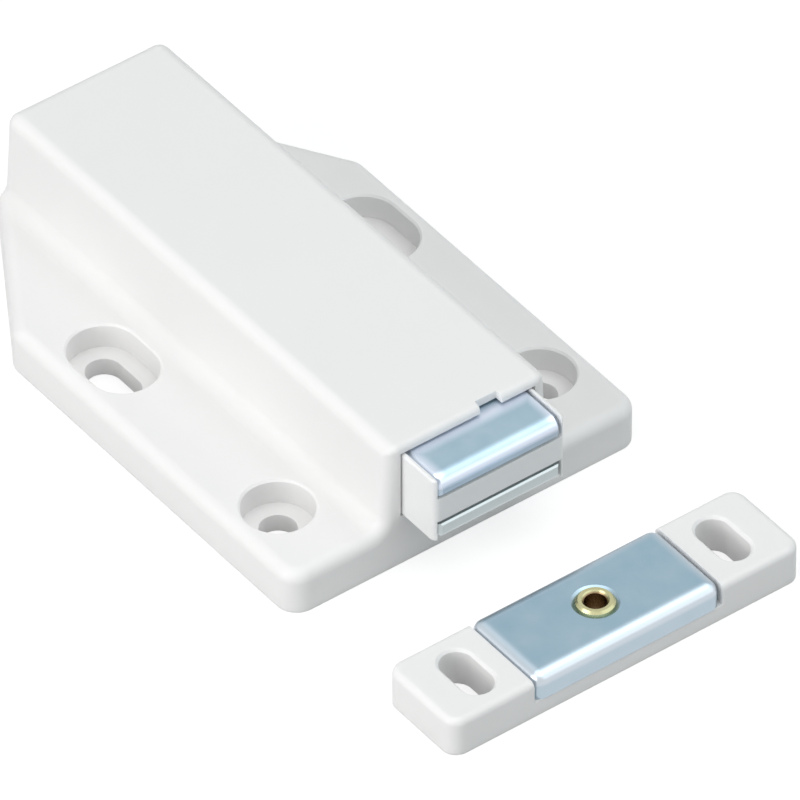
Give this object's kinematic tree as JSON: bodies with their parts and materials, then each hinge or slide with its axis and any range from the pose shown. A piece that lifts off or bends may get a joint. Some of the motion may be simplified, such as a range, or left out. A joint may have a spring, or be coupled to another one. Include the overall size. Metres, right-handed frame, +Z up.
{
  "type": "magnetic push catch",
  "caption": "Magnetic push catch for a cabinet door: a raised case with screw wings and a sliding magnet plunger, with a slotted steel-capped counterpiece.",
  "frame": {"origin": "middle of the catch's front edge, on its mounting face", "axes": "+X across the catch to its right seen from above with the plunger towards the viewer, +Y from the plunger to the catch's rear, +Z up from the mounting face"},
  "size_m": [0.0607, 0.1241, 0.0214],
  "materials": {
    "white_plastic": "fine-grained white moulding",
    "plunger_plastic": "smooth white moulding",
    "zinc_steel": "blue zinc plate",
    "ferrite": "ground ferrite",
    "spring_steel": "drawn wire",
    "brass": "bright brass"
  },
  "bodies": {
    "case": {"housing": "white_plastic", "bottom_cover": "white_plastic", "main_spring": "spring_steel", "strike_base": "white_plastic", "strike_plate": "zinc_steel", "strike_rivet": "brass"},
    "plunger": {"plunger": "plunger_plastic", "upper_pole_plate": "zinc_steel", "lower_pole_plate": "zinc_steel", "magnet": "ferrite"},
    "follower": {"follower": "spring_steel"}
  },
  "joints": [
    {"name": "plunger_slide", "type": "slide", "parent": "case", "child": "plunger", "axis": [0, -1, 0], "range_m": [-0.003, 0.018], "deforming": ["main_spring"]},
    {"name": "follower_swing", "type": "hinge", "parent": "case", "child": "follower", "pos_m": [0, 0.049, 0.0078], "axis": [0, 0, -1], "range_deg": [-1.6, 9.1]}
  ],
  "couplings": [
    {"joint": "follower_swing", "follows": "plunger_slide", "rad_per_m": 8.7}
  ]
}
